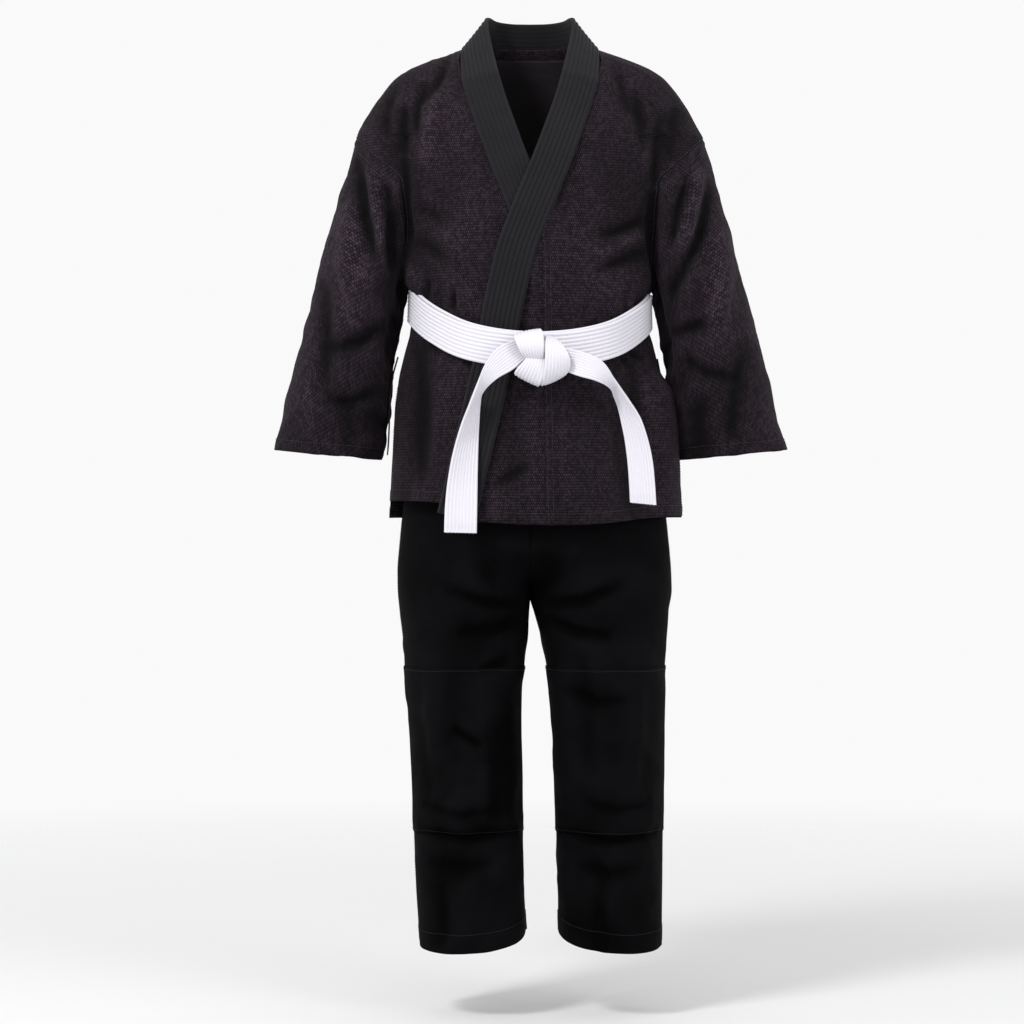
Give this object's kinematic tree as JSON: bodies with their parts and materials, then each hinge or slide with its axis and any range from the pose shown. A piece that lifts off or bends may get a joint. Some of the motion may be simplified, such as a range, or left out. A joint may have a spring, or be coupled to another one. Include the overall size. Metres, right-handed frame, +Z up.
{
  "type": "martial arts uniform",
  "caption": "Wrap-front martial arts uniform of jacket, knotted belt and straight trousers, hanging as worn, with swinging sleeves, legs and belt tails.",
  "frame": {"origin": "on the mid-line at the base of the neck, where the wearer's shoulders carry the jacket", "axes": "+Z up, -Y towards the wearer's front, +X towards the wearer's left"},
  "size_m": [0.602, 0.2628, 1.095],
  "materials": {
    "jacket_cloth": "matt purple-black ribbed cotton",
    "band_cloth": "quilted charcoal black cotton band",
    "trouser_cloth": "matt black plain-weave cotton",
    "belt_cloth": "white stitched cotton belt",
    "elastic": "ribbed black elastic"
  },
  "bodies": {
    "jacket": {"back_panel_left": "jacket_cloth", "back_panel_right": "jacket_cloth", "yoke_lining": "jacket_cloth", "front_panel_left": "jacket_cloth", "front_overlap_left": "jacket_cloth", "front_panel_right": "jacket_cloth", "front_overlap_right": "jacket_cloth", "collar_back": "band_cloth", "lapel_left": "band_cloth", "lapel_right": "band_cloth", "belt_wrap_inner": "belt_cloth", "belt_wrap_outer": "belt_cloth", "belt_knot": "belt_cloth"},
    "sleeve_left": {"sleeve_left": "jacket_cloth", "cuff_hem_left": "jacket_cloth"},
    "sleeve_right": {"sleeve_right": "jacket_cloth", "cuff_hem_right": "jacket_cloth"},
    "tie_left": {"side_tie_left": "jacket_cloth"},
    "tie_right": {"side_tie_right": "jacket_cloth"},
    "tail_left": {"belt_tail_left": "belt_cloth"},
    "tail_right": {"belt_tail_right": "belt_cloth"},
    "trousers": {"trouser_front_left": "trouser_cloth", "trouser_back_left": "trouser_cloth", "trouser_front_right": "trouser_cloth", "trouser_back_right": "trouser_cloth", "waistband": "trouser_cloth", "waist_elastic": "elastic"},
    "leg_left": {"leg_front_left": "trouser_cloth", "leg_back_left": "trouser_cloth", "knee_patch_left": "trouser_cloth"},
    "leg_right": {"leg_front_right": "trouser_cloth", "leg_back_right": "trouser_cloth", "knee_patch_right": "trouser_cloth"}
  },
  "joints": [
    {"name": "sleeve_left_raise", "type": "hinge", "parent": "jacket", "child": "sleeve_left", "pos_m": [0.21, 0, -0.094], "axis": [0, -1, 0], "range_deg": [0, 60]},
    {"name": "sleeve_right_raise", "type": "hinge", "parent": "jacket", "child": "sleeve_right", "pos_m": [-0.21, 0, -0.094], "axis": [0, 1, 0], "range_deg": [0, 60]},
    {"name": "leg_left_swing", "type": "hinge", "parent": "trousers", "child": "leg_left", "pos_m": [0, 0, -0.575], "axis": [-1, 0, 0], "range_deg": [-20, 35]},
    {"name": "leg_right_swing", "type": "hinge", "parent": "trousers", "child": "leg_right", "pos_m": [0, 0, -0.575], "axis": [-1, 0, 0], "range_deg": [-20, 35]},
    {"name": "belt_tail_left_swing", "type": "hinge", "parent": "jacket", "child": "tail_left", "pos_m": [0, -0.132, -0.339], "axis": [-1, 0, 0], "range_deg": [0, 60]},
    {"name": "belt_tail_right_swing", "type": "hinge", "parent": "jacket", "child": "tail_right", "pos_m": [0, -0.132, -0.339], "axis": [-1, 0, 0], "range_deg": [0, 60]},
    {"name": "side_tie_left_swing", "type": "hinge", "parent": "jacket", "child": "tie_left", "pos_m": [0.154, 0.026, -0.35], "axis": [0.9955, 0, -0.0944], "range_deg": [-25, 25]},
    {"name": "side_tie_right_swing", "type": "hinge", "parent": "jacket", "child": "tie_right", "pos_m": [-0.154, -0.014, -0.35], "axis": [-0.9955, 0, -0.0944], "range_deg": [-25, 25]},
    {"name": "trousers_pull_down", "type": "slide", "parent": "jacket", "child": "trousers", "axis": [0, 0, -1], "range_m": [0, 0.25]}
  ]
}
